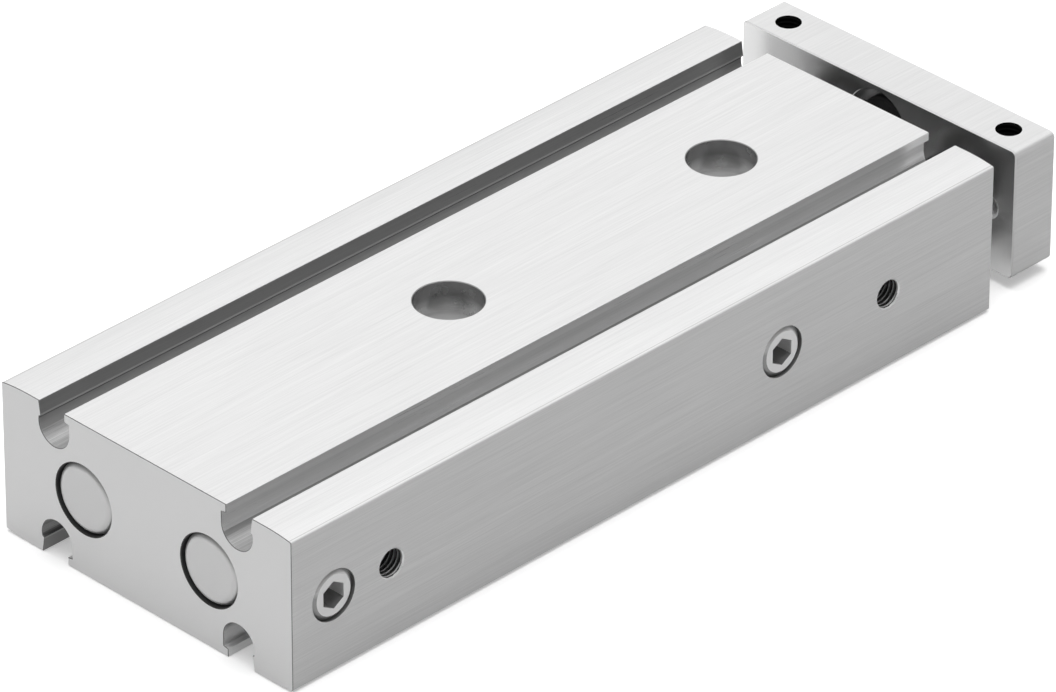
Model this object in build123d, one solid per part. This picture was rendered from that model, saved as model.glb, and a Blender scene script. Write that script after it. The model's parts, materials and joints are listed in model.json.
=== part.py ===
from build123d import *
import os
from math import sqrt

# Double piston cylinder: a flat extruded housing with two bores side by side. The two rods carry one
# yoke plate. Millimetres, +X along the stroke towards the yoke, +Y to the left, +Z up. The model is
# laid out from the housing's rear end face, and moved at the end so that the origin lies on the
# underside, midway between the two mounting holes.

# Travel and the lengths that the mechanism takes along X
stroke = 80.0
end_gap = 0.05
cap_recess = 0.1
cap_length = 6.0
buffer_proud = 1.75
piston_half_length = 6.0
magnet_width = 4.0
guide_length = 44.8

# Housing extrusion
body_width = 62.0
body_height = 26.7
crown_drop = 0.45
crown_run = 5.6
long_edge_round = 0.3
end_bevel = 0.15

# Sensor slots: a round channel under a mouth that has a short inner lip and a long outer lip
slot_offset = 19.63
slot_radius = 3.27
slot_centre_depth = 3.5
slot_mouth_inner = 2.3
slot_mouth_outer = 3.2
slot_throat_outer = 2.82
slot_inner_lip = 1.6
slot_outer_lip = 2.6
slot_step = 0.2

# Bores and the rods' seats
bore_offset = 13.48
bore_radius = 6.0
bore_bevel = 0.15
seat_radius = 6.5
seat_bevel = 0.3
rod_radius = 4.0
running_gap = 0.02
fit_gap = 0.02
thread_gap = 0.03

# Mounting holes through the housing, for M6 screws
hole_pitch = 59.25
hole_inset = 28.5
hole_radius = 3.3
counterbore_radius = 5.55
counterbore_depth = 5.5
counterbore_ledge = 0.65
cone_depth = 0.9

# Threads, all modelled at their pitch diameter
m5_radius = 2.24
m4_radius = 1.77

# Air ports and the cross passages that join the two bores
port_rear_x = 20.3
port_front_inset = 23.5
port_depth = 7.0
port_mouth_radius = 2.55
passage_radius = 1.25
passage_offset = 2.36

# Plugs in the mouths of the cross passages
plug_radius = 4.0
plug_length = 4.6
plug_bevel = 0.58
plug_recess = 0.05
plug_pocket = 7.0
plug_mouth_radius = 4.33
plug_hex = 4.1
plug_hex_depth = 3.2
plug_hex_turn = 30.0

# Rear caps
cap_edge_round = 1.4
cap_ring_width = 2.0
cap_ring_depth = 1.2
cap_ring_place = 3.2

# Pistons
piston_gap = 0.1
seal_groove_width = 2.2
seal_groove_depth = 2.0
seal_side_gap = 0.05
seal_lip = 0.5
spigot_radius = 3.0
magnet_gap = 0.3
rod_pocket = 2.0
buffer_radius = 5.2
buffer_wall = 1.0
buffer_seat = 1.3
buffer_edge = 0.4
screw_head_radius = 3.4
screw_head_height = 2.6
screw_reach = 8.0
screw_clearance = 2.1
screw_hex = 2.5
screw_hex_depth = 1.4

# Guide bushes and what closes the front of the bores
bush_length = 34.0
bush_collar = 2.0
bush_relief_end = 24.0
bush_relief_depth = 0.8
bush_notches = 3
bush_notch_width = 3.0
bush_ring_place = 27.0
bush_ring_width = 2.4
bush_ring_depth = 1.4
rod_seal_length = 3.5
rod_seal_lip = 1.0
retainer_length = 1.5
snap_width = 1.0
snap_depth = 0.45
snap_wall = 1.3
snap_opening = 4.0
ring_gap = 0.01

# Yoke plate
yoke_gap = 6.95
yoke_thickness = 9.1
yoke_width = 58.6
yoke_height = 23.1
yoke_top_gap = 1.62
yoke_round = 1.0
yoke_bevel = 0.2
yoke_thread_offset = 23.6
yoke_top_thread_depth = 8.5
yoke_spigot = 1.5
yoke_screw_length = 12.0
yoke_screw_head_radius = 4.25
yoke_screw_head_height = 5.0
yoke_screw_sink = 5.3
yoke_screw_clearance = 2.6
yoke_screw_hex = 4.0
yoke_screw_hex_depth = 2.4
head_clearance = 0.2
rod_thread_depth = 14.0
rod_end_bevel = 0.4

# Stop screw in the yoke's recess
stop_rise = 4.5
stop_recess_radius = 6.15
stop_recess_depth = 4.3
stop_recess_bevel = 0.3
stop_head_radius = 4.3
stop_head_height = 2.0
stop_pad_height = 1.0
stop_pad_step = 0.3
stop_sink = 0.4
stop_hex = 2.5
stop_hex_depth = 3.0

# Places along X from the housing's rear end face
cap_inner_x = cap_recess + cap_length
piston_length = 2 * piston_half_length + magnet_width
piston_x = cap_inner_x + end_gap + buffer_proud
bush_x = piston_x + piston_length + buffer_proud + stroke + end_gap
body_length = bush_x + guide_length
magnet_x = piston_x + piston_half_length
piston_front_x = magnet_x + magnet_width
rear_groove_x = piston_x + (piston_half_length - seal_groove_width + buffer_seat) / 2
front_groove_x = piston_front_x + (piston_half_length - seal_groove_width - buffer_seat) / 2
passage_rear_x = cap_inner_x + passage_offset
passage_front_x = bush_x - passage_offset
port_front_x = body_length - port_front_inset
hole_front_x = body_length - hole_inset
hole_rear_x = hole_front_x - hole_pitch
origin_x = (hole_front_x + hole_rear_x) / 2
rod_seal_x = bush_x + bush_length
retainer_x = rod_seal_x + rod_seal_length
snap_x = retainer_x + retainer_length
yoke_x = body_length + yoke_gap
yoke_front_x = yoke_x + yoke_thickness
rod_rear_x = piston_x + piston_length - rod_pocket
rod_front_x = yoke_x + yoke_spigot

# Places across the section
side_y = -body_width / 2
mid_z = body_height / 2
yoke_top_z = body_height - yoke_top_gap
yoke_mid_z = yoke_top_z - yoke_height / 2
stop_z = mid_z + stop_rise
sides = {"left": 1, "right": -1}

# How far a cutting tool reaches past the surface that it starts from
cut_over = 1.0


def rod_axis(x, side):
    """The point of one cylinder's axis at a distance x from the rear end face."""
    return (x, side * bore_offset, mid_z)


def bar_x(point, radius, length):
    """A round bar along +X from a point."""
    return Plane(origin=point, z_dir=(1, 0, 0)) * extrude(Circle(radius), length)


def bar_y(point, radius, length):
    """A round bar along +Y from a point."""
    return Plane(origin=point, z_dir=(0, 1, 0)) * extrude(Circle(radius), length)


def cone_x(point, start_radius, end_radius, length):
    """A tapered bar along +X from a point."""
    cone = Pos(0, 0, length / 2) * Cone(start_radius, end_radius, length)
    return Plane(origin=point, z_dir=(1, 0, 0)) * cone


def cone_y(point, start_radius, end_radius, length):
    """A tapered bar along +Y from a point."""
    cone = Pos(0, 0, length / 2) * Cone(start_radius, end_radius, length)
    return Plane(origin=point, z_dir=(0, 1, 0)) * cone


def ring_x(point, outer_radius, inner_radius, length):
    """A plain ring along +X from a point."""
    section = Circle(outer_radius) - Circle(inner_radius)
    return Plane(origin=point, z_dir=(1, 0, 0)) * extrude(section, length)


def hexagon_x(point, across_flats, length):
    """A hexagonal bar along +X from a point."""
    section = RegularPolygon(across_flats / 2, 6, major_radius=False)
    return Plane(origin=point, z_dir=(1, 0, 0)) * extrude(section, length)


def cord_ring(point, groove_radius, wall_radius):
    """An O-ring squeezed between a groove's foot and the wall around it, with an eight-sided section."""
    height = wall_radius - groove_radius - 2 * ring_gap
    start = (point[0] - height / 2, point[1], point[2])
    ring = ring_x(start, wall_radius - ring_gap, groove_radius + ring_gap, height)
    return chamfer(ring.edges().filter_by(GeomType.CIRCLE), height / (2 + sqrt(2)))


def turned(outline, side):
    """A turned piece: an outline of (distance along X, radius) points, spun around a cylinder's axis."""
    section = make_face(Polyline(*outline, close=True))
    spun = revolve(section, Axis.X)
    return Pos(*rod_axis(0, side)) * spun


def slot_tool(side, from_top):
    """The cutting tool of one sensor slot, over the housing's whole length."""
    ledge = sqrt(slot_radius ** 2 - (slot_centre_depth - slot_outer_lip - slot_step) ** 2)
    walls = Polyline(
        (ledge, slot_outer_lip + slot_step),
        (slot_throat_outer, slot_outer_lip),
        (slot_mouth_outer, 0),
        (slot_mouth_outer, -cut_over),
        (-slot_mouth_inner, -cut_over),
        (-slot_mouth_inner, slot_inner_lip - slot_step),
        (-slot_radius, slot_inner_lip),
        (-slot_radius, slot_centre_depth),
    )
    floor = ThreePointArc(
        (-slot_radius, slot_centre_depth),
        (0, slot_centre_depth + slot_radius),
        (ledge, slot_outer_lip + slot_step),
    )
    section = make_face([*walls.edges(), floor])
    height = body_height if from_top else 0
    down = -1 if from_top else 1
    facing = Plane(origin=(0, side * slot_offset, height), x_dir=(0, side, 0), z_dir=(side * down, 0, 0))
    depth = body_length * side * down
    return extrude(facing * section, depth, dir=(side * down, 0, 0))


def extrusion_section():
    """The housing's outer section with its crowned outer rails."""
    half = body_width / 2
    flat = half - crown_run
    arcs = [
        TangentArc((flat, body_height), (half, body_height - crown_drop), tangent=(1, 0)),
        TangentArc((flat, 0), (half, crown_drop), tangent=(1, 0)),
        TangentArc((-flat, body_height), (-half, body_height - crown_drop), tangent=(-1, 0)),
        TangentArc((-flat, 0), (-half, crown_drop), tangent=(-1, 0)),
    ]
    lines = [
        Line((-flat, body_height), (flat, body_height)),
        Line((-flat, 0), (flat, 0)),
        Line((half, crown_drop), (half, body_height - crown_drop)),
        Line((-half, crown_drop), (-half, body_height - crown_drop)),
    ]
    section = make_face([*arcs, *lines])
    corners = [point for point in section.vertices() if abs(abs(point.X) - half) < end_bevel]
    return fillet(corners, long_edge_round)


def mounting_hole_tool(x):
    """A counterbored screw hole from the housing's top, with the cone that the tool's point leaves."""
    top = Pos(x, 0, body_height)
    ledge_radius = counterbore_radius - counterbore_ledge
    through = Pos(x, 0, mid_z) * Cylinder(hole_radius, body_height + 2 * cut_over)
    counterbore = top * Pos(0, 0, (cut_over - counterbore_depth) / 2) * Cylinder(
        counterbore_radius, counterbore_depth + cut_over)
    cone = top * Pos(0, 0, -counterbore_depth - cone_depth / 2) * Cone(hole_radius, ledge_radius, cone_depth)
    return through + counterbore + cone


def cylinder_tool(side):
    """One bore with the wider seat of its guide bush, the snap ring's groove and the bevelled mouths."""
    bore = bar_x(rod_axis(-cut_over, side), bore_radius, bush_x + 2 * cut_over)
    seat = bar_x(rod_axis(bush_x, side), seat_radius, guide_length + cut_over)
    groove = bar_x(rod_axis(snap_x, side), seat_radius + snap_depth, snap_width)
    rear_mouth = cone_x(rod_axis(0, side), bore_radius + bore_bevel, bore_radius, bore_bevel)
    mouth_start = rod_axis(body_length - seat_bevel, side)
    front_mouth = cone_x(mouth_start, seat_radius, seat_radius + seat_bevel, seat_bevel)
    return bore + seat + groove + rear_mouth + front_mouth


def port_tool(x):
    """A tapped air port in the housing's side, with its bevelled mouth."""
    bevel = port_mouth_radius - m5_radius
    hole = bar_y((x, side_y - cut_over, mid_z), m5_radius, port_depth + cut_over)
    mouth = cone_y((x, side_y, mid_z), port_mouth_radius, m5_radius, bevel)
    return hole + mouth


def passage_tool(x):
    """A cross passage from the side through both bores, with the plug's wider seat."""
    pocket_radius = plug_radius + thread_gap
    bevel = plug_mouth_radius - pocket_radius
    seat = bar_y((x, side_y - cut_over, mid_z), pocket_radius, plug_pocket + cut_over)
    mouth = cone_y((x, side_y, mid_z), plug_mouth_radius, pocket_radius, bevel)
    passage = bar_y((x, side_y, mid_z), passage_radius, bore_offset - side_y)
    return seat + mouth + passage


def port_link_tools():
    """The channel from the rear port to its passage, and the one from the front port to its bush."""
    link_y = side_y + (plug_length + plug_pocket) / 2
    link_radius = (plug_pocket - plug_length) / 2
    rear = bar_x((passage_rear_x, link_y, mid_z), link_radius, port_rear_x - passage_rear_x)
    front = bar_y((port_front_x, side_y, mid_z), passage_radius, -side_y - bore_offset)
    return rear + front


def housing():
    """The extruded housing with all its slots, bores, ports and screw holes."""
    body = Plane.YZ * extrude(extrusion_section(), body_length)
    for side in sides.values():
        body -= slot_tool(side, True)
        body -= slot_tool(side, False)
    ends = body.faces().sort_by(Axis.X)
    body = chamfer([*ends[0].outer_wire().edges(), *ends[-1].outer_wire().edges()], end_bevel)
    for side in sides.values():
        body -= cylinder_tool(side)
    for x in (hole_rear_x, hole_front_x):
        body -= mounting_hole_tool(x)
    for x in (port_rear_x, port_front_x):
        body -= port_tool(x)
    for x in (passage_rear_x, passage_front_x):
        body -= passage_tool(x)
    return body - port_link_tools()


def rear_cap(side):
    """A closing disc with a rounded outer edge and a groove for its O-ring."""
    radius = bore_radius - fit_gap
    cap = bar_x(rod_axis(cap_recess, side), radius, cap_length)
    outer_edge = cap.faces().sort_by(Axis.X)[0].edges()
    cap = fillet(outer_edge, cap_edge_round)
    groove = ring_x(rod_axis(cap_recess + cap_ring_place, side), bore_radius, bore_radius - cap_ring_depth,
                    cap_ring_width)
    return cap - groove


def rear_cap_ring(side):
    """The O-ring around a rear cap."""
    middle = cap_recess + cap_ring_place + cap_ring_width / 2
    return cord_ring(rod_axis(middle, side), bore_radius - cap_ring_depth, bore_radius)


def passage_plug(x):
    """A hexagon-socket plug that closes a cross passage."""
    face_y = side_y + plug_recess
    plug = bar_y((x, face_y, mid_z), plug_radius, plug_length - plug_recess)
    plug = chamfer(plug.faces().sort_by(Axis.Y)[0].edges(), plug_bevel)
    hexagon = Rot(Z=plug_hex_turn) * RegularPolygon(plug_hex / 2, 6, major_radius=False)
    face = Plane(origin=(x, face_y, mid_z), x_dir=(1, 0, 0), z_dir=(0, 1, 0))
    return plug - face * extrude(hexagon, plug_hex_depth)


def rod(side):
    """A piston rod, tapped at both ends."""
    bar = bar_x(rod_axis(rod_rear_x, side), rod_radius, rod_front_x - rod_rear_x)
    ends = [bar.faces().sort_by(Axis.X)[0], bar.faces().sort_by(Axis.X)[-1]]
    bar = chamfer([edge for face in ends for edge in face.edges()], rod_end_bevel)
    piston_thread = bar_x(rod_axis(rod_rear_x, side), m4_radius + thread_gap, screw_reach + cut_over)
    thread_start = rod_axis(rod_front_x - rod_thread_depth, side)
    yoke_thread = bar_x(thread_start, m5_radius + thread_gap, rod_thread_depth)
    return bar - piston_thread - yoke_thread


def seal_groove(x, side):
    """The groove for a piston seal, starting at x."""
    foot = bore_radius - seal_groove_depth
    return ring_x(rod_axis(x, side), bore_radius, foot, seal_groove_width)


def buffer_groove(x, side):
    """The face groove that holds a buffer ring, starting at x."""
    outer = buffer_radius + fit_gap
    return ring_x(rod_axis(x, side), outer, buffer_radius - buffer_wall - fit_gap, buffer_seat)


def piston_rear(side):
    """The rear half of a piston, with the spigot that the magnet sits on and the screw's sunk seat."""
    radius = bore_radius - piston_gap
    half = bar_x(rod_axis(piston_x, side), radius, piston_half_length)
    half += bar_x(rod_axis(piston_x, side), spigot_radius, piston_half_length + magnet_width)
    half -= seal_groove(rear_groove_x, side)
    half -= buffer_groove(piston_x, side)
    half -= bar_x(rod_axis(piston_x, side), screw_head_radius + head_clearance, screw_head_height)
    return half - bar_x(rod_axis(piston_x, side), screw_clearance, piston_length)


def piston_front(side):
    """The front half of a piston, with the pocket for the rod's end."""
    radius = bore_radius - piston_gap
    end = piston_front_x + piston_half_length
    half = bar_x(rod_axis(piston_front_x, side), radius, piston_half_length)
    half -= seal_groove(front_groove_x, side)
    half -= buffer_groove(end - buffer_seat, side)
    half -= bar_x(rod_axis(end - rod_pocket, side), rod_radius + fit_gap, rod_pocket)
    return half - bar_x(rod_axis(piston_front_x, side), screw_clearance, piston_half_length)


def magnet(side):
    """The ring magnet between the piston halves."""
    return ring_x(rod_axis(magnet_x, side), bore_radius - magnet_gap, spigot_radius + fit_gap, magnet_width)


def piston_seals(side):
    """The two lip seals of a piston, with their lips turned away from each other."""
    foot = bore_radius - seal_groove_depth + fit_gap
    tip = bore_radius - running_gap
    notch = (foot + tip) / 2
    rear_lip_x = rear_groove_x + seal_side_gap
    front_lip_x = front_groove_x + seal_groove_width - seal_side_gap
    seals = []
    for lip_x, inward in ((rear_lip_x, 1), (front_lip_x, -1)):
        back_x = lip_x + inward * (seal_groove_width - 2 * seal_side_gap)
        outline = [
            (lip_x, foot),
            (lip_x, notch - seal_lip),
            (lip_x + inward * seal_lip, notch),
            (lip_x, tip),
            (back_x - inward * seal_lip, tip),
            (back_x, tip - seal_lip),
            (back_x, foot),
        ]
        seals.append(turned(outline, side))
    return Compound(seals)


def piston_screw(side):
    """The low-head screw that clamps the piston halves to the rod."""
    seat_x = piston_x + screw_head_height
    head = bar_x(rod_axis(piston_x, side), screw_head_radius, screw_head_height)
    shank = bar_x(rod_axis(seat_x, side), m4_radius, rod_rear_x + screw_reach - seat_x)
    return head + shank - hexagon_x(rod_axis(piston_x, side), screw_hex, screw_hex_depth)


def buffer_ring(x, side, rearward):
    """A rubber ring in a piston's end face, standing proud of it, with its outer end bevelled."""
    start = x - buffer_proud if rearward else x - buffer_seat
    length = buffer_proud + buffer_seat
    ring = ring_x(rod_axis(start, side), buffer_radius, buffer_radius - buffer_wall, length)
    tip = ring.faces().sort_by(Axis.X)[0 if rearward else -1]
    return chamfer(tip.outer_wire().edges(), buffer_edge)


def guide_bush(side):
    """The rod's guide: a notched collar, a relieved waist for the air, and a groove for its O-ring."""
    radius = seat_radius - fit_gap
    bush = bar_x(rod_axis(bush_x, side), radius, bush_length)
    waist = radius - bush_relief_depth
    bush -= ring_x(rod_axis(bush_x + bush_collar, side), seat_radius, waist, bush_relief_end - bush_collar)
    bush -= ring_x(rod_axis(bush_x + bush_ring_place, side), seat_radius, seat_radius - bush_ring_depth,
                   bush_ring_width)
    notch = Pos(bush_collar / 2, 0, seat_radius) * Box(
        bush_collar, bush_notch_width, 2 * (seat_radius - waist))
    for turn in range(bush_notches):
        bush -= Pos(*rod_axis(bush_x, side)) * Rot(X=360 * turn / bush_notches) * notch
    return bush - bar_x(rod_axis(bush_x, side), rod_radius + running_gap, bush_length)


def bush_ring(side):
    """The O-ring around a guide bush."""
    middle = bush_x + bush_ring_place + bush_ring_width / 2
    return cord_ring(rod_axis(middle, side), seat_radius - bush_ring_depth, seat_radius)


def rod_seal(side):
    """The rod's lip seal, open towards the pressure."""
    inner = rod_radius + running_gap
    outer = seat_radius - fit_gap
    middle = (inner + outer) / 2
    end = rod_seal_x + rod_seal_length
    outline = [(rod_seal_x, inner), (rod_seal_x + rod_seal_lip, middle), (rod_seal_x, outer), (end, outer),
               (end, inner)]
    return turned(outline, side)


def seal_retainer(side):
    """The washer in front of a rod seal."""
    clear_radius = rod_radius + head_clearance
    return ring_x(rod_axis(retainer_x, side), seat_radius - fit_gap, clear_radius, retainer_length)


def snap_ring(side):
    """The open ring that locks the washer in the housing's groove."""
    outer = seat_radius + snap_depth - fit_gap
    ring = ring_x(rod_axis(snap_x, side), outer, outer - snap_wall, snap_width)
    gap = Pos(snap_x + snap_width / 2, side * bore_offset, mid_z - outer) * Box(
        snap_width, snap_opening, 2 * snap_wall + snap_depth)
    return ring - gap


def yoke_plate():
    """The yoke plate: rod seats, screw pockets, threads for the user, and the stop screw's recess."""
    outline = RectangleRounded(yoke_width, yoke_height, yoke_round)
    rear_face = Plane(origin=(yoke_x, 0, yoke_mid_z), x_dir=(0, 1, 0), z_dir=(1, 0, 0))
    plate = rear_face * extrude(outline, yoke_thickness)
    faces = plate.faces().sort_by(Axis.X)
    plate = chamfer([*faces[0].edges(), *faces[-1].edges()], yoke_bevel)
    head_x = yoke_front_x - yoke_screw_sink
    top_thread = Cylinder(m5_radius, yoke_top_thread_depth)
    top_thread_z = yoke_top_z - yoke_top_thread_depth / 2
    for side in sides.values():
        thread_y = side * yoke_thread_offset
        plate -= bar_x(rod_axis(yoke_x, side), rod_radius + fit_gap, yoke_spigot)
        plate -= bar_x(rod_axis(yoke_x, side), yoke_screw_clearance, yoke_thickness)
        plate -= bar_x(rod_axis(head_x, side), yoke_screw_head_radius + head_clearance, yoke_screw_sink)
        plate -= bar_x((yoke_x, thread_y, mid_z), m5_radius, yoke_thickness)
        plate -= Pos(yoke_x + yoke_thickness / 2, thread_y, top_thread_z) * top_thread
    recess_mouth = stop_recess_radius + stop_recess_bevel
    plate -= bar_x((yoke_x, 0, stop_z), stop_recess_radius, stop_recess_depth)
    plate -= cone_x((yoke_x, 0, stop_z), recess_mouth, stop_recess_radius, stop_recess_bevel)
    return plate - bar_x((yoke_x, 0, stop_z), m5_radius + thread_gap, yoke_thickness)


def yoke_screws():
    """The two socket-head screws that hold the yoke plate on the rods."""
    screws = []
    head_x = yoke_front_x - yoke_screw_sink
    for side in sides.values():
        screw = bar_x(rod_axis(head_x, side), yoke_screw_head_radius, yoke_screw_head_height)
        screw += bar_x(rod_axis(head_x - yoke_screw_length, side), m5_radius, yoke_screw_length)
        socket_x = head_x + yoke_screw_head_height - yoke_screw_hex_depth
        screws.append(screw - hexagon_x(rod_axis(socket_x, side), yoke_screw_hex, yoke_screw_hex_depth))
    return Compound(screws)


def stop_screw():
    """The stop screw: a flat disc head in the yoke's recess, with its socket at the front."""
    floor_x = yoke_x + stop_recess_depth
    end_x = yoke_front_x - stop_sink
    screw = bar_x((floor_x - stop_head_height, 0, stop_z), stop_head_radius, stop_head_height)
    screw += bar_x((floor_x, 0, stop_z), m5_radius, end_x - floor_x)
    return screw - hexagon_x((end_x - stop_hex_depth, 0, stop_z), stop_hex, stop_hex_depth)


def stop_pad():
    """The rubber pad on the stop screw's head."""
    start = yoke_x + stop_recess_depth - stop_head_height - stop_pad_height
    pad = bar_x((start, 0, stop_z), stop_head_radius, stop_pad_height)
    return chamfer(pad.faces().sort_by(Axis.X)[0].edges(), stop_pad_step)


def nodes():
    """Every sub-part by its node's name."""
    parts = {"housing": housing(), "yoke_plate": yoke_plate(), "yoke_screws": yoke_screws()}
    parts["stop_screw"] = stop_screw()
    parts["stop_pad"] = stop_pad()
    parts["passage_plug_rear"] = passage_plug(passage_rear_x)
    parts["passage_plug_front"] = passage_plug(passage_front_x)
    for name, side in sides.items():
        parts["rear_cap_" + name] = rear_cap(side)
        parts["rear_cap_ring_" + name] = rear_cap_ring(side)
        parts["rod_" + name] = rod(side)
        parts["piston_rear_" + name] = piston_rear(side)
        parts["piston_front_" + name] = piston_front(side)
        parts["piston_magnet_" + name] = magnet(side)
        parts["piston_seals_" + name] = piston_seals(side)
        parts["piston_screw_" + name] = piston_screw(side)
        parts["buffer_rear_" + name] = buffer_ring(piston_x, side, True)
        parts["buffer_front_" + name] = buffer_ring(piston_x + piston_length, side, False)
        parts["guide_bush_" + name] = guide_bush(side)
        parts["bush_ring_" + name] = bush_ring(side)
        parts["rod_seal_" + name] = rod_seal(side)
        parts["seal_retainer_" + name] = seal_retainer(side)
        parts["snap_ring_" + name] = snap_ring(side)
    return parts


os.makedirs("parts", exist_ok=True)
for node, shape in nodes().items():
    export_step(Pos(-origin_x, 0, 0) * shape, f"parts/{node}.step")
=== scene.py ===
"""Dresses the double piston cylinder: brushed extrusion, yoke plate, plugs, caps, rods and threads.

Every length is in metres, in the frame of the solids: +X along the stroke, +Z up, air ports towards -Y.
"""

import json
import logging
from dataclasses import dataclass
from enum import Enum
from math import asin, atan2, ceil, cos, degrees, pi, radians, sin, sqrt, tan

import bmesh
import bpy
from mathutils import Matrix, Vector


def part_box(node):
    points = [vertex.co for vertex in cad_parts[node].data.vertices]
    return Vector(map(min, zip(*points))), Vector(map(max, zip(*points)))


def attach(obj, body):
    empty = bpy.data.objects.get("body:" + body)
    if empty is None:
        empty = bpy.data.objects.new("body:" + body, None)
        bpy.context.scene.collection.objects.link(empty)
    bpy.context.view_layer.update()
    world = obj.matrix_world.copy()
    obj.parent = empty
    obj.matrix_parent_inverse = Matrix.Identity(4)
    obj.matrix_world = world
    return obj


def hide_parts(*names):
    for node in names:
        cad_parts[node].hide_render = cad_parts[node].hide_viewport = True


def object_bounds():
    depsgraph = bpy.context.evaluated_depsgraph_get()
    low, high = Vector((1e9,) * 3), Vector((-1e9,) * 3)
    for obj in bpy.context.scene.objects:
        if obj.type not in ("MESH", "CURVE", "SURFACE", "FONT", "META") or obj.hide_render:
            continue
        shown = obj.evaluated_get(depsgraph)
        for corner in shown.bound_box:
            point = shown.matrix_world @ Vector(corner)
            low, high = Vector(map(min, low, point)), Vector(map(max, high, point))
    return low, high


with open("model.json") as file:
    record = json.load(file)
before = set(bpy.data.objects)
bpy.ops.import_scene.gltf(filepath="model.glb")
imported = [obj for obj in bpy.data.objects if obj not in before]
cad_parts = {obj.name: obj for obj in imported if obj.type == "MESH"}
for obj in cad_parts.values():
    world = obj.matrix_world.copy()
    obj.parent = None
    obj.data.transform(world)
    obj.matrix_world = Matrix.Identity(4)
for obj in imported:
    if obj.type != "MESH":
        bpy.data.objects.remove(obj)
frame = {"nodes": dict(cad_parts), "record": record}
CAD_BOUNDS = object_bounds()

log = logging.getLogger("cylinder")

MM = 0.001
BODY_FIXED = "cylinder"
BODY_MOVING = "slide"
MERGE_DISTANCE = 0.002 * MM
FACING = 0.9  # a face points along an axis when its normal's part there is over this
TILTED = 0.1  # and it leans towards the axis when that part is over this
ROUND_STEPS = 96
WIDE_FACE_WEIGHT = 100
SOCKET_SIDES = 6
PLUG_ENDS = ("rear", "front")
Point2 = tuple[float, float]
Outline = list[Point2]
Placed = tuple[bpy.types.Mesh, Matrix, bpy.types.Material]


class Side(Enum):
    """The two cylinders, by the sign of their place along Y."""

    LEFT = 1
    RIGHT = -1

    @property
    def word(self) -> str:
        """The word that the solids' names use for this side."""
        return self.name.lower()


# Node trees


class Value:
    """A node's output that adds Math nodes when it is used in an expression."""

    def __init__(self, tree: "Tree", socket: bpy.types.NodeSocket) -> None:
        """Wraps a socket.

        Args:
            tree: The builder of the tree that the socket is in.
            socket: The output that holds the value.
        """
        self.tree = tree
        self.socket = socket

    def __add__(self, other: "Value | float") -> "Value":
        """This value plus another."""
        return self.tree.math("ADD", self, other)

    __radd__ = __add__

    def __sub__(self, other: "Value | float") -> "Value":
        """This value less another."""
        return self.tree.math("SUBTRACT", self, other)

    def __rsub__(self, other: "Value | float") -> "Value":
        """Another value less this one."""
        return self.tree.math("SUBTRACT", other, self)

    def __mul__(self, other: "Value | float") -> "Value":
        """This value times another."""
        return self.tree.math("MULTIPLY", self, other)

    __rmul__ = __mul__

    def __truediv__(self, other: "Value | float") -> "Value":
        """This value divided by another."""
        return self.tree.math("DIVIDE", self, other)

    def __rtruediv__(self, other: "Value | float") -> "Value":
        """Another value divided by this one."""
        return self.tree.math("DIVIDE", other, self)

    def __gt__(self, limit: "Value | float") -> "Value":
        """1 where this value is over a limit, and otherwise 0."""
        return self.tree.math("GREATER_THAN", self, limit)

    def __lt__(self, limit: "Value | float") -> "Value":
        """1 where this value is under a limit, and otherwise 0."""
        return self.tree.math("LESS_THAN", self, limit)

    def least(self, other: "Value | float") -> "Value":
        """The smaller of this value and another."""
        return self.tree.math("MINIMUM", self, other)

    def most(self, other: "Value | float") -> "Value":
        """The larger of this value and another."""
        return self.tree.math("MAXIMUM", self, other)

    def clamped(self, low: "Value | float" = 0.0, high: "Value | float" = 1.0) -> "Value":
        """This value held between two limits."""
        return self.most(low).least(high)


class Tree:
    """Adds nodes to a node tree and wraps what they hand over."""

    def __init__(self, tree: bpy.types.NodeTree) -> None:
        """Takes the tree that is filled."""
        self.tree = tree

    def put(self, socket: bpy.types.NodeSocket, source: "Value | list | float | tuple") -> None:
        """Links a value or a list of values to a socket, or sets a constant on it.

        Args:
            socket: The input to fill.
            source: A wrapped output, several of them, or a constant.
        """
        if isinstance(source, list):
            for each in source:
                self.put(socket, each)
        elif isinstance(source, Value):
            self.tree.links.new(source.socket, socket)
        else:
            socket.default_value = source

    def add(self, kind: str, settings: dict, inputs: dict) -> bpy.types.Node:
        """Adds a node.

        Args:
            kind: The node's type.
            settings: Its own settings, which are made before its sockets are filled.
            inputs: Values or links by socket name or number.

        Returns:
            The node itself.
        """
        made = self.tree.nodes.new(kind)
        for name, value in settings.items():
            setattr(made, name, value)
        for name, value in inputs.items():
            self.put(made.inputs[name], value)
        return made

    def node(self, kind: str, settings: dict, inputs: dict, output: int | str = 0) -> Value:
        """Adds a node and hands back one wrapped output, by its name or number."""
        return Value(self, self.add(kind, settings, inputs).outputs[output])

    def math(self, operation: str, *terms: Value | float) -> Value:
        """The result of one Math node."""
        return self.node("ShaderNodeMath", {"operation": operation}, dict(enumerate(terms)))

    def vector_math(self, operation: str, *terms: Value | tuple) -> Value:
        """The vector that one Vector Math node gives."""
        return self.node("ShaderNodeVectorMath", {"operation": operation}, dict(enumerate(terms)))

    def parts(self, vector: Value) -> list[Value]:
        """A vector's three parts."""
        split = self.add("ShaderNodeSeparateXYZ", {}, {0: vector})
        return [Value(self, part) for part in split.outputs]

    def vector(self, x: Value | float, y: Value | float, z: Value | float) -> Value:
        """A vector of three parts."""
        return self.node("ShaderNodeCombineXYZ", {}, {0: x, 1: y, 2: z})


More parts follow.
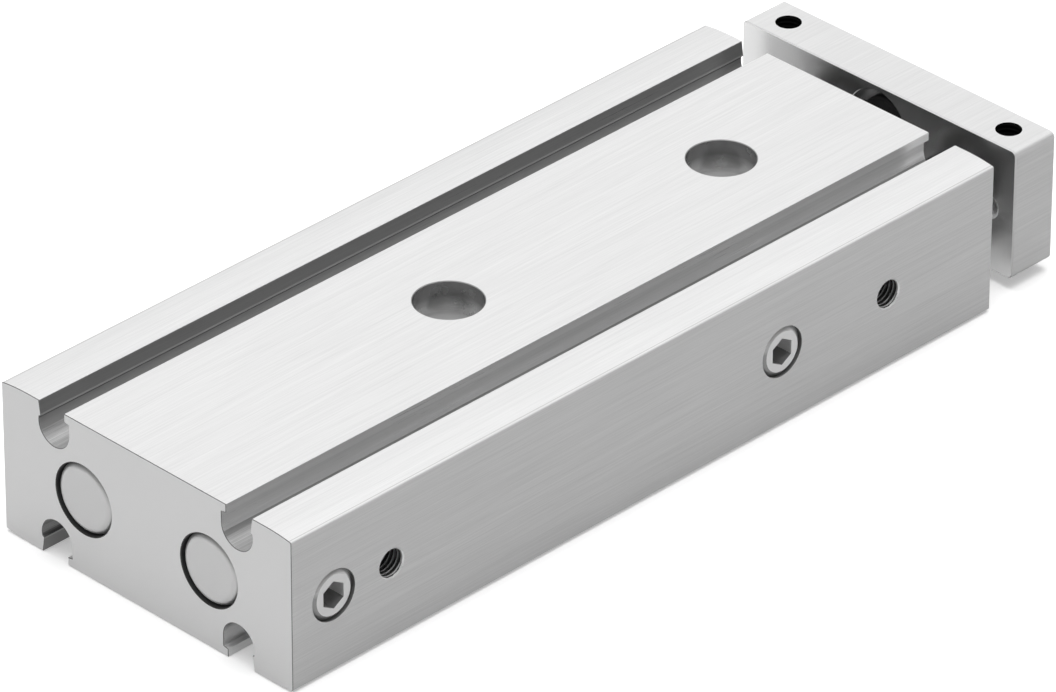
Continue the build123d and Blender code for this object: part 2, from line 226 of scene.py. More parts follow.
class Shader(Tree):
    """Builds one material's node tree around a Principled shader."""

    def __init__(self, name: str) -> None:
        """Starts a material with its output and shader nodes.

        Args:
            name: The material's name.
        """
        self.material = bpy.data.materials.new(name)
        self.material.use_nodes = True
        super().__init__(self.material.node_tree)
        self.tree.nodes.clear()
        self.surface = self.add("ShaderNodeBsdfPrincipled", {}, {})
        self.add("ShaderNodeOutputMaterial", {}, {"Surface": Value(self, self.surface.outputs[0])})

    def place(self, scale: tuple) -> Value:
        """The piece's own coordinates, scaled to cycles per metre along X, Y and Z."""
        return self.vector_math("MULTIPLY", self.node("ShaderNodeTexCoord", {}, {}, "Object"), scale)

    def noise(self, rates: tuple, detail: float = 2.0, roughness: float = 0.5) -> Value:
        """Smooth noise from 0 to 1 over the piece.

        Args:
            rates: Cycles per metre along X, Y and Z.
            detail: How many finer layers it has.
            roughness: How strong the finer layers are.

        Returns:
            The wrapped noise.
        """
        inputs = {"Vector": self.place(rates), "Scale": 1.0, "Detail": detail, "Roughness": roughness}
        return self.node("ShaderNodeTexNoise", {}, inputs)

    def mix(self, factor: Value | float, low: Value | tuple, high: Value | tuple) -> Value:
        """The colour between two colours at a factor from 0 to 1."""
        return self.node("ShaderNodeMix", {"data_type": "RGBA"}, {0: factor, 6: low, 7: high}, 2)

    def bump(self, height: Value, distance: float) -> Value:
        """A normal bent by a height over the surface."""
        return self.node("ShaderNodeBump", {}, {"Height": height, "Distance": distance, "Strength": 1.0})

    def finish(self, **sockets: Value | float | tuple) -> bpy.types.Material:
        """Fills the shader's sockets, named with _ for a space, and returns the material.

        Args:
            sockets: A value or a constant for each socket.

        Returns:
            The material.
        """
        for name, value in sockets.items():
            self.put(self.surface.inputs[name.replace("_", " ")], value)
        return self.material


def grey(level: float, warmth: float = 0.0) -> tuple:
    """A near-neutral colour of a given linear level."""
    return (level * (1 + warmth), level, level * (1 - warmth), 1.0)


# Finishes


@dataclass(frozen=True)
class Finish:
    """What all finishes share: a fine and a wide pattern that vary a plain level and gloss."""

    name: str
    level: float
    metallic: float = 0.3
    roughness: float = 0.36
    contrast: float = 0.08
    depth: float = 0.004 * MM
    share: float = 0.7
    spread: float = 2.2
    play: float = 0.08
    warmth: float = 0.0

    def shade(self, fine: Value, wide: Value) -> Value:
        """Both patterns as one from 0 to 1, with its middle spread out."""
        both = fine * self.share + wide * (1 - self.share)
        return ((both - 0.5) * self.spread + 0.5).clamped()

    def tone(self, shader: Shader, shade: Value) -> Value:
        """The colour, from a little under the level to a little over it.

        Args:
            shader: The material's builder.
            shade: The pattern from 0 to 1.

        Returns:
            The wrapped colour.
        """
        low = grey(self.level * (1 - self.contrast), self.warmth)
        high = grey(min(self.level * (1 + self.contrast), 1.0), self.warmth)
        return shader.mix(shade, low, high)

    def gloss(self, pattern: Value) -> Value:
        """The roughness, with a pattern's play around its middle."""
        return (pattern * self.play + (self.roughness - self.play / 2)).clamped()


@dataclass(frozen=True)
class Brushed(Finish):
    """Aluminium ground with a belt: fine streaks along the stroke, and faint clouds of handling."""

    line_width: float = 0.09 * MM
    line_length: float = 11 * MM
    band_width: float = 0.42 * MM
    band_length: float = 30 * MM
    cloud_rates: tuple = (55.0, 90.0, 90.0)

    def build(self) -> bpy.types.Material:
        """Builds the material with two sizes of streak.

        Returns:
            The material.
        """
        shader = Shader(self.name)
        fine = shader.noise((1 / self.line_length, 1 / self.line_width, 1 / self.line_width), 3.0, 0.6)
        band = shader.noise((1 / self.band_length, 1 / self.band_width, 1 / self.band_width))
        cloud = shader.noise(self.cloud_rates)
        shade = self.shade(fine, band)
        return shader.finish(
            Base_Color=self.tone(shader, shade),
            Metallic=self.metallic,
            Roughness=(shade * -self.play + cloud * self.play + self.roughness).clamped(),
            Normal=shader.bump(fine, self.depth),
        )


@dataclass(frozen=True)
class Matt(Finish):
    """A fine, even, matt metal face, as a saw and a blast leave it."""

    metallic: float = 0.35
    roughness: float = 0.5
    contrast: float = 0.005
    depth: float = 0.002 * MM
    share: float = 0.5
    spread: float = 2.4
    grain: float = 0.12 * MM
    cloud_rate: float = 120.0

    def build(self) -> bpy.types.Material:
        """Builds the material with a fine grain and wide faint clouds.

        Returns:
            The material.
        """
        shader = Shader(self.name)
        grain = shader.noise((1 / self.grain,) * 3)
        cloud = shader.noise((self.cloud_rate,) * 3, 3.0)
        return shader.finish(
            Base_Color=self.tone(shader, self.shade(grain, cloud)),
            Metallic=self.metallic,
            Roughness=self.gloss(grain),
            Normal=shader.bump(grain, self.depth),
        )


@dataclass(frozen=True)
class Machined(Finish):
    """A drilled, bored or tapped surface: rings along the tool's axis, and rubbed patches.

    Where it has a second level, the colour changes to it between two heights, as painted light and shade.
    """

    metallic: float = 0.8
    roughness: float = 0.32
    contrast: float = 0.12
    depth: float = 0.003 * MM
    share: float = 0.6
    spread: float = 2.0
    play: float = 0.12
    axis: int = 2
    feed: float = 0.14 * MM
    wide_rate: float = 70.0
    patch_rate: float = 420.0
    specular: float = 0.5
    second_level: float = 0.0
    second_range: tuple = (0.0, 0.0)

    def build(self) -> bpy.types.Material:
        """Builds the material with rings along the tool's axis.

        Returns:
            The material.
        """
        shader = Shader(self.name)
        rates = [self.wide_rate] * 3
        rates[self.axis] = 1 / self.feed
        ring = shader.noise(tuple(rates))
        patch = shader.noise((self.patch_rate,) * 3, 3.0)
        tone = self.tone(shader, self.shade(ring, patch))
        if self.second_level:
            start, end = self.second_range
            height = shader.parts(shader.place((1.0, 1.0, 1.0)))[2]
            tone = shader.mix(((height - start) / (end - start)).clamped(), tone, grey(self.second_level))
        return shader.finish(
            Base_Color=tone,
            Metallic=self.metallic,
            Roughness=self.gloss(patch),
            Specular_IOR_Level=self.specular,
            Normal=shader.bump(ring, self.depth),
        )


@dataclass(frozen=True)
class Rubber(Finish):
    """Moulded rubber, or another dark matt stuff, with a fine grain."""

    metallic: float = 0.0
    roughness: float = 0.62
    contrast: float = 0.2
    play: float = 0.16
    grain: float = 0.2 * MM

    def build(self) -> bpy.types.Material:
        """Builds the material with a fine grain in colour, gloss and height.

        Returns:
            The material.
        """
        shader = Shader(self.name)
        grain = shader.noise((1 / self.grain,) * 3, 4.0, 0.6)
        return shader.finish(
            Base_Color=self.tone(shader, grain),
            Metallic=self.metallic,
            Roughness=self.gloss(grain),
            Normal=shader.bump(grain, self.depth),
        )


class Finishes:
    """Every material of the part, built once."""

    def __init__(self) -> None:
        """Builds the finishes for the shown surfaces and for each slot of the record."""
        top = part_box("housing")[1].z
        plug = centre_of("passage_plug_rear").z
        # Painted light and shade in the sensor slots: the inner sides are lit copies of the brushed
        # aluminium and the outer sides are shaded copies, by how light falls into each side.
        lip = {"metallic": 0.45, "roughness": 0.3, "contrast": 0.1}
        hollow = {"metallic": 0.4, "roughness": 0.3, "contrast": 0.1}
        self.extruded = Brushed("extrusion_brushed", 0.74, metallic=0.2, contrast=0.11).build()
        self.slot_inner_lip = Brushed("slot_inner_lip", 0.95, **lip).build()
        self.slot_outer_lip = Brushed("slot_outer_lip", 0.29, **lip).build()
        # Painted highlight: a lighter stripe along the lower edge of the outer lip.
        self.slot_lip_edge = Brushed("slot_lip_edge", 0.45, metallic=0.45, roughness=0.3).build()
        self.slot_inner_round = Brushed("slot_inner_round", 0.84, **hollow).build()
        self.slot_outer_round = Brushed("slot_outer_round", 0.4, **hollow).build()
        # Painted shadow: a dark stripe at the top of the outer round, where the lip's overhang casts shade.
        self.slot_undercut_shadow = Brushed("slot_undercut_shadow", 0.2, metallic=0.4, roughness=0.3).build()
        # Painted shade: the slot floors are a darker copy of the brushed aluminium, for the shade inside the
        # slots, with stronger streaks.
        self.slot_floor = Brushed("slot_floor_shaded", 0.54, metallic=0.6, roughness=0.35, contrast=0.35).build()
        self.end_face = Matt("end_sawn", 0.8).build()
        # Partly painted shade: the housing's front face and the yoke's inner face are smooth and
        # mirror-like, and their levels are set darker than the outer faces for the shade in the gap between
        # them.
        self.front_face = Matt("front_face_shaded", 0.6, metallic=0.9, roughness=0.22).build()
        # Painted shade: the end bevels are painted dark as a thin shade line along the ends' edges.
        self.edge = Matt("end_bevel_shaded", 0.16).build()
        # Painted shade: a thin darker line on the top just inside the rounded long edges.
        self.edge_line = Brushed("edge_line", 0.54, metallic=0.2).build()
        self.yoke_outer = Brushed("yoke_brushed", 0.72, metallic=0.21, contrast=0.1).build()
        self.yoke_inner = Matt("yoke_inner_shaded", 0.6, metallic=0.93, roughness=0.25).build()
        self.bored = Machined("bored", 0.66, metallic=0.9, roughness=0.3).build()
        # Painted light and shade in the mounting holes: the wall is dark at the top and lightens lower down,
        # as a painted reflection.
        self.bore_wall = Machined("bore_wall", 0.4, metallic=0.9, roughness=0.26, second_level=1.0,
                                  second_range=(top - 2.4 * MM, top - 4.4 * MM)).build()
        # Painted shade: the ledge and cone are darker copies of the bored finish.
        self.bore_ledge = Machined("bore_ledge", 0.36, metallic=0.4, roughness=0.5).build()
        self.bore_cone = Machined("bore_cone", 0.33, metallic=0.3, roughness=0.5).build()
        # Painted shade: the plug seats' walls are a darker copy of the bored finish, for the shade in the
        # gap round each plug.
        self.plug_seat = Machined("plug_seat", 0.26, axis=1, metallic=0.4, roughness=0.45).build()
        # Painted shade: the bores' walls near their mouths are near black, for the shade in the ring gap
        # round the rear caps.
        self.bore_mouth = Machined("bore_mouth", 0.04, axis=0, metallic=0.2, roughness=0.6).build()
        # Painted light and shade in the threads: light crests, near-black roots, and near-black deep holes
        # for the shade inside them.
        self.tapped = Machined("tapped", 0.88, axis=1, metallic=0.4, roughness=0.45).build()
        self.thread_root = Machined("thread_root", 0.03, axis=1, metallic=0.2, roughness=0.6).build()
        self.tapped_mouth = Machined("tapped_mouth", 0.9, axis=1, metallic=0.3, roughness=0.4).build()
        self.tapped_deep = Machined("tapped_deep", 0.006, metallic=0.0, roughness=0.8, specular=0.05).build()
        # Painted light and shade on the plugs: the rim is light above and darker lower down, and the socket
        # has lit walls and shaded faces that face up.
        self.plug_rim = Machined("plug_rim", 0.85, axis=1, metallic=0.45, roughness=0.4, second_level=0.3,
                                 second_range=(plug + 2.4 * MM, plug + 0.8 * MM)).build()
        self.plug_socket = Matt("plug_socket", 0.9, metallic=0.3, roughness=0.4).build()
        self.socket_low = Matt("socket_low", 0.2, metallic=0.4, roughness=0.4).build()
        self.by_slot = {
            "housing_aluminium": self.extruded,
            "yoke_aluminium": self.yoke_outer,
            "cap_aluminium": Matt("cap_satin", 0.62, metallic=0.4, roughness=0.38).build(),
            "plug_steel": Matt("plug_plated", 0.8, metallic=0.3, roughness=0.4).build(),
            "rod_chrome": Machined("rod_ground", 0.72, axis=0, metallic=1.0, roughness=0.16).build(),
            "piston_aluminium": Machined("piston_turned", 0.6, axis=0).build(),
            "magnet": Rubber("magnet_sintered", 0.06, roughness=0.5, metallic=0.4).build(),
            "seal_rubber": Rubber("seal_moulded", 0.02).build(),
            "buffer_rubber": Rubber("buffer_moulded", 0.03).build(),
            "bush_bronze": Rubber("bush_sintered", 0.35, roughness=0.45, metallic=0.9, warmth=0.3).build(),
            "screw_steel": Rubber("screw_blackened", 0.045, roughness=0.38, metallic=0.7).build(),
            "retainer_steel": Machined("retainer_spring", 0.5, axis=0, metallic=0.8, roughness=0.42).build(),
        }


# Meshes


def centre_of(node: str) -> Vector:
    """The middle of a solid's box."""
    low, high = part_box(node)
    return (low + high) / 2


def arc(centre: Point2, radius: float, start: float, end: float, steps: int) -> Outline:
    """Points on an arc, ends included.

    Args:
        centre: The arc's centre.
        radius: Its radius.
        start: The first point's angle in degrees.
        end: The last point's angle in degrees.
        steps: How many chords it has.

    Returns:
        The points in order.
    """
    turns = [radians(start + (end - start) * step / steps) for step in range(steps + 1)]
    return [(centre[0] + radius * cos(turn), centre[1] + radius * sin(turn)) for turn in turns]


def rounded(outline: Outline, corner: int, radius: float, steps: int) -> Outline:
    """An outline with one corner replaced by a tangent arc.

    Args:
        outline: A closed outline.
        corner: The corner's number.
        radius: The arc's radius.
        steps: How many chords it has.

    Returns:
        The new outline.
    """
    before, point, after = (Vector(outline[(corner + step) % len(outline)]) for step in (-1, 0, 1))
    inward = (before - point).normalized()
    outward = (after - point).normalized()
    half = inward.angle(outward) / 2
    reach = radius / tan(half)
    centre = point + (inward + outward).normalized() * (radius / sin(half))
    first = point + inward * reach - centre
    last = point + outward * reach - centre
    turn = first.angle_signed(last)
    angles = [-turn * step / steps for step in range(steps + 1)]
    points = [centre + Matrix.Rotation(angle, 2) @ first for angle in angles]
    return outline[:corner] + [tuple(p) for p in points] + outline[corner + 1:]


def inward_miters(outline: Outline) -> list[Vector]:
    """How far each point of a counterclockwise outline moves for an inset of one unit.

    Args:
        outline: A closed outline.

    Returns:
        One move for each point.
    """
    moves = []
    for index, point in enumerate(outline):
        here = Vector(point)
        into = (here - Vector(outline[index - 1])).normalized()
        away = (Vector(outline[(index + 1) % len(outline)]) - here).normalized()
        normals = Vector((-into.y, into.x)) + Vector((-away.y, away.x))
        moves.append(normals * (2 / normals.length_squared))
    return moves


def mesh_object(name: str, mesh: bpy.types.Mesh) -> bpy.types.Object:
    """Links a mesh to the scene as a new object at the origin.

    Args:
        name: The object's name.
        mesh: Its mesh.

    Returns:
        The object.
    """
    made = bpy.data.objects.new(name, mesh)
    bpy.context.scene.collection.objects.link(made)
    return made


def opened(mesh: bpy.types.Mesh) -> bmesh.types.BMesh:
    """A mesh opened for work.

    Args:
        mesh: The mesh.

    Returns:
        A copy of it that can be edited.
    """
    work = bmesh.new()
    work.from_mesh(mesh)
    return work


def kept(work: bmesh.types.BMesh, mesh: bpy.types.Mesh) -> bpy.types.Mesh:
    """Turns the faces of some work outward and keeps it in a mesh.

    Args:
        work: The edited copy, which is closed.
        mesh: The mesh that takes it.

    Returns:
        The mesh.
    """
    bmesh.ops.recalc_face_normals(work, faces=work.faces)
    work.to_mesh(mesh)
    work.free()
    return mesh


def settled(piece: bpy.types.Object) -> bpy.types.Object:
    """Turns a piece's modifiers into its plain mesh.

    Args:
        piece: The piece.

    Returns:
        The same piece.
    """
    bpy.context.view_layer.update()
    graph = bpy.context.evaluated_depsgraph_get()
    mesh = bpy.data.meshes.new_from_object(piece.evaluated_get(graph))
    piece.modifiers.clear()
    piece.data = mesh
    return piece


def turned_mesh(name: str, profile: Outline, segments: int = 72) -> bpy.types.Mesh:
    """A closed solid of revolution around its local Z.

    Args:
        name: The mesh's name.
        profile: (radius, height) points from the axis at the bottom to the axis at the top.
        segments: How many flats the round has.

    Returns:
        The mesh, with its poles closed and its faces outward.
    """
    work = bmesh.new()
    rings = []
    for radius, height in profile:
        count = segments if radius > 0 else 1
        turns = [2 * pi * step / segments for step in range(count)]
        rings.append([work.verts.new((radius * cos(turn), radius * sin(turn), height)) for turn in turns])
    for low, high in zip(rings, rings[1:]):
        for step in range(segments):
            corners = [low[step % len(low)], low[(step + 1) % len(low)],
                       high[(step + 1) % len(high)], high[step % len(high)]]
            work.faces.new(list(dict.fromkeys(corners)))
    return kept(work, bpy.data.meshes.new(name))


class Facing(Enum):
    """Which way a turned piece's local Z points in the part."""

    FRONT = Matrix.Rotation(radians(90), 4, "Y")
    RIGHT = Matrix.Rotation(radians(90), 4, "X")
    UP = Matrix.Identity(4)

    def at(self, point: tuple) -> Matrix:
        """The matrix that turns a piece this way and puts it at a point."""
        return Matrix.Translation(point) @ self.value


def joined(name: str, meshes: list[Placed]) -> bpy.types.Object:
    """One object from several placed meshes, each with its own material.

    Args:
        name: The object's name.
        meshes: The meshes with their places and materials.

    Returns:
        The object, at the origin.
    """
    result = bpy.data.meshes.new(name)
    work = bmesh.new()
    materials = list(dict.fromkeys(material for _, _, material in meshes))
    for mesh, place, material in meshes:
        before = len(work.faces)
        placed = mesh.copy()
        placed.transform(place)
        work.from_mesh(placed)
        work.faces.ensure_lookup_table()
        for face in work.faces[before:]:
            face.material_index = materials.index(material)
        bpy.data.meshes.remove(placed)
    work.to_mesh(result)
    work.free()
    for material in materials:
        result.materials.append(material)
    return mesh_object(name, result)


def cut(body: bpy.types.Object, tool: bpy.types.Object) -> None:
    """Cuts a tool out of a body; the cut faces keep the tool's materials.

    Args:
        body: The piece that is cut.
        tool: The closed shape that is taken away, and then removed.
    """
    modifier = body.modifiers.new("cut", "BOOLEAN")
    modifier.operation = "DIFFERENCE"
    modifier.solver = "EXACT"
    modifier.material_mode = "TRANSFER"
    modifier.object = tool
    settled(body)
    bpy.data.objects.remove(tool)


def index_of(piece: bpy.types.Object, material: bpy.types.Material) -> int:
    """A material's place among a piece's materials, where it is put if it is missing.

    Args:
        piece: The piece.
        material: The material.

    Returns:
        The material's index.
    """
    held = list(piece.data.materials)
    if material not in held:
        piece.data.materials.append(material)
        return len(held)
    return held.index(material)


def smooth(piece: bpy.types.Object, angle: float = 32.0) -> bpy.types.Object:
    """Shades a piece smooth up to an angle, with wide faces kept flat.

    Args:
        piece: The piece to shade.
        angle: The sharpest edge in degrees that is shaded smooth.

    Returns:
        The same piece.
    """
    piece.data.shade_smooth()
    piece.data.set_sharp_from_angle(angle=radians(angle))
    modifier = piece.modifiers.new("weighted", "WEIGHTED_NORMAL")
    modifier.mode = "FACE_AREA"
    modifier.weight = WIDE_FACE_WEIGHT
    modifier.keep_sharp = True
    return settled(piece)


def ready(piece: bpy.types.Object, body: str, slot: str, *nodes: str) -> None:
    """Attaches a finished piece to its body and hides the solids that it stands for.

    Args:
        piece: The piece.
        body: The body that it rides on.
        slot: The record's material slot; not used.
        nodes: The solids that it stands for.
    """
    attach(piece, body)
    if nodes:
        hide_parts(*nodes)
    log.info("%s: %d faces on %s", piece.name, len(piece.data.polygons), body)


# Geometry trees


class Geometry(Tree):
    """Builds one geometry node tree, with named inputs, that ends in real geometry with a material."""

    def __init__(self, name: str, sizes: dict[str, float | int]) -> None:
        """Starts a tree.

        Args:
            name: The tree's name.
            sizes: The named inputs with their values.
        """
        super().__init__(bpy.data.node_groups.new(name, "GeometryNodeTree"))
        face = self.tree.interface
        face.new_socket("Geometry", in_out="INPUT", socket_type="NodeSocketGeometry")
        for label, value in sizes.items():
            kind = "NodeSocketInt" if isinstance(value, int) else "NodeSocketFloat"
            face.new_socket(label, in_out="INPUT", socket_type=kind)
        face.new_socket("Material", in_out="INPUT", socket_type="NodeSocketMaterial")
        face.new_socket("Geometry", in_out="OUTPUT", socket_type="NodeSocketGeometry")
        self.sizes = sizes
        sockets = self.add("NodeGroupInput", {}, {}).outputs
        self.inputs = {socket.name: Value(self, socket) for socket in sockets}

    def merged(self, shape: Value) -> Value:
        """A geometry with its doubled points merged."""
        return self.node("GeometryNodeMergeByDistance", {}, {"Geometry": shape, "Distance": MERGE_DISTANCE})

    def run(self, piece: bpy.types.Object, shape: Value, material: bpy.types.Material) -> bpy.types.Object:
        """Ends the tree, runs it on a piece and keeps the plain mesh.

        Args:
            piece: The object that the tree starts from.
            shape: The geometry that the tree hands over.
            material: The material of the whole result.

        Returns:
            The same piece with its new mesh.
        """
        real = self.node("GeometryNodeRealizeInstances", {}, {0: shape})
        faces = {"Geometry": real, "Material": self.inputs["Material"]}
        self.add("NodeGroupOutput", {}, {0: self.node("GeometryNodeSetMaterial", {}, faces)})
        modifier = piece.modifiers.new("made", "NODES")
        modifier.node_group = self.tree
        for item in self.tree.interface.items_tree:
            if item.in_out == "INPUT" and item.name in self.sizes:
                modifier[item.identifier] = self.sizes[item.name]
            if item.in_out == "INPUT" and item.name == "Material":
                modifier[item.identifier] = material
        settled(piece)
        piece.data.materials.clear()
        piece.data.materials.append(material)
        for face in piece.data.polygons:
            face.material_index = 0
        return piece


def extrusion(name: str, outline: Outline, start: float, length: float, bevel: float,
              material: bpy.types.Material, splits: list[tuple[int, float]]) -> bpy.types.Object:
    """An outline of (Y, Z) points drawn out along X, with bevelled ends, by a geometry tree.

    Args:
        name: The object's name.
        outline: The section, counterclockwise when X points at the viewer.
        start: Where the piece starts along X.
        length: Its whole length.
        bevel: The bevel around both ends.
        material: The finish of its surface.
        splits: Axis numbers and places where the faces are split, so that no face holds a whole hole.

    Returns:
        The piece.
    """
    loop = bpy.data.meshes.new(name)
    count = len(outline)
    loop.from_pydata([(y, z, 0.0) for y, z in outline], [(i, (i + 1) % count) for i in range(count)], [])
    inset = loop.attributes.new("inset", "FLOAT_VECTOR", "POINT")
    for index, move in enumerate(inward_miters(outline)):
        inset.data[index].vector = (move.x, move.y, 0.0)
    tree = Geometry("extrusion", {"Length": length, "Bevel": bevel, "Start": start})
    geometry, size, edge, place = (tree.inputs[key] for key in ("Geometry", "Length", "Bevel", "Start"))
    wall, top = geometry, True
    for reach in (edge, size - edge * 2.0, edge):
        step = tree.add("GeometryNodeExtrudeMesh", {"mode": "EDGES"},
                        {"Mesh": wall, "Selection": top, "Offset": tree.vector(0.0, 0.0, reach)})
        wall, top = (Value(tree, step.outputs[key]) for key in ("Mesh", "Top"))
    move = tree.node("GeometryNodeInputNamedAttribute", {"data_type": "FLOAT_VECTOR"}, {"Name": "inset"})
    inward = tree.node("ShaderNodeVectorMath", {"operation": "SCALE"}, {0: move, "Scale": edge})
    height = tree.parts(tree.node("GeometryNodeInputPosition", {}, {}))[2]
    half_edge = edge * 0.5
    at_ends = (height < half_edge) + (height > size - half_edge)
    ends = {"Geometry": wall, "Selection": at_ends, "Offset": inward}
    wall = tree.node("GeometryNodeSetPosition", {}, ends)
    rim = tree.node("GeometryNodeSetPosition", {}, {"Geometry": geometry, "Offset": inward})
    curve = tree.node("GeometryNodeMeshToCurve", {}, {"Mesh": rim})
    near = tree.node("GeometryNodeFillCurve", {"mode": "NGONS"}, {"Curve": curve})
    lift = {"Geometry": near, "Translation": tree.vector(0.0, 0.0, size)}
    far = tree.node("GeometryNodeTransform", {}, lift)
    near = tree.node("GeometryNodeFlipFaces", {}, {"Mesh": near})
    closed = tree.merged(tree.node("GeometryNodeJoinGeometry", {}, {0: [wall, near, far]}))
    laid = tree.node("GeometryNodeTransform", {}, {
        "Geometry": closed,
        "Rotation": (radians(90), 0.0, radians(90)),
        "Translation": tree.vector(place, 0.0, 0.0),
    })
    piece = tree.run(mesh_object(name, loop), laid, material)
    work = opened(piece.data)
    for axis, place in splits:
        across = Vector(tuple(float(index == axis) for index in range(3)))
        everything = work.verts[:] + work.edges[:] + work.faces[:]
        bmesh.ops.bisect_plane(work, geom=everything, dist=MERGE_DISTANCE, plane_co=across * place,
                               plane_no=across)
    kept(work, piece.data)
    return piece


@dataclass(frozen=True)
class Thread:
    """A metric inside thread with its countersunk mouth.

    Its groove fades in below the lead, and its section is a cosine with its crest and root cut flat.
    """

    major: float
    minor: float
    pitch: float
    depth: float
    mouth: float
    lead: float = 0.0
    fade: float = 0.8 * MM
    mouth_slope: float = 1.8
    over: float = 0.6 * MM
    wave_height: float = 0.8
    wave_middle: float = 0.5
    steps_per_turn: int = 56
    rows_per_pitch: int = 12

    def taps(self, name: str, count: int, spacing: float, material: bpy.types.Material) -> bpy.types.Object:
        """A row of taps along the local X, centred, each cutting down from the local Z = 0.

        Args:
            name: The object's name.
            count: How many taps the row has.
            spacing: The distance from one to the next.
            material: The finish that the taps leave.

        Returns:
            The row as one object of closed solids.
        """
        step = self.pitch / self.rows_per_pitch
        rows = ceil((self.depth + self.over + self.pitch) / step)
        tree = Geometry("tap_row", {
            "Count": count, "Spacing": spacing, "Major": self.major, "Minor": self.minor,
            "Pitch": self.pitch, "Depth": self.depth, "Mouth": self.mouth, "Over": self.over,
            "Fade": self.fade, "Slope": self.mouth_slope, "Lead": self.lead,
            "Step": step, "Rows": rows, "Segments": self.steps_per_turn,
        })
        size = tree.inputs
        pitch, over, mouth = size["Pitch"], size["Over"], size["Mouth"]
        grid = tree.node("GeometryNodeMeshGrid", {}, {
            "Size X": 1.0, "Size Y": 1.0,
            "Vertices X": size["Segments"] + 1.0, "Vertices Y": size["Rows"] + 1.0,
        })
        across, down, _ = tree.parts(tree.node("GeometryNodeInputPosition", {}, {}))
        turn = across + 0.5
        level = over - (down + 0.5) * size["Rows"] * size["Step"]
        raw = level + turn * pitch
        foot = size["Depth"] * -1.0
        height = raw.clamped(foot, over)
        wave = tree.math("COSINE", level / pitch * (2 * pi)) * self.wave_height + self.wave_middle
        faded = ((height * -1.0 - size["Lead"]) / size["Fade"]).clamped()
        groove = size["Minor"] + (size["Major"] - size["Minor"]) * (wave.clamped() * faded)
        cone = mouth + height.least(0.0) * size["Slope"]
        flush = height > 0.0
        radius = cone.most(groove) * (1.0 - flush) + mouth * flush
        ends = (raw > over - MERGE_DISTANCE) + (raw < foot + MERGE_DISTANCE)
        closed = radius * (1.0 - ends)
        angle = turn * (2 * pi)
        spot = tree.vector(closed * tree.math("COSINE", angle), closed * tree.math("SINE", angle), height)
        tap = tree.merged(tree.node("GeometryNodeSetPosition", {}, {"Geometry": grid, "Position": spot}))
        line = tree.node("GeometryNodeMeshLine", {}, {
            "Count": size["Count"],
            "Start Location": tree.vector((size["Count"] - 1.0) * size["Spacing"] * -0.5, 0.0, 0.0),
            "Offset": tree.vector(size["Spacing"], 0.0, 0.0),
        })
        row = tree.node("GeometryNodeInstanceOnPoints", {}, {"Points": line, "Instance": tap})
        piece = tree.run(mesh_object(name, bpy.data.meshes.new(name)), row, material)
        kept(opened(piece.data), piece.data)
        return piece


# Sub-assemblies


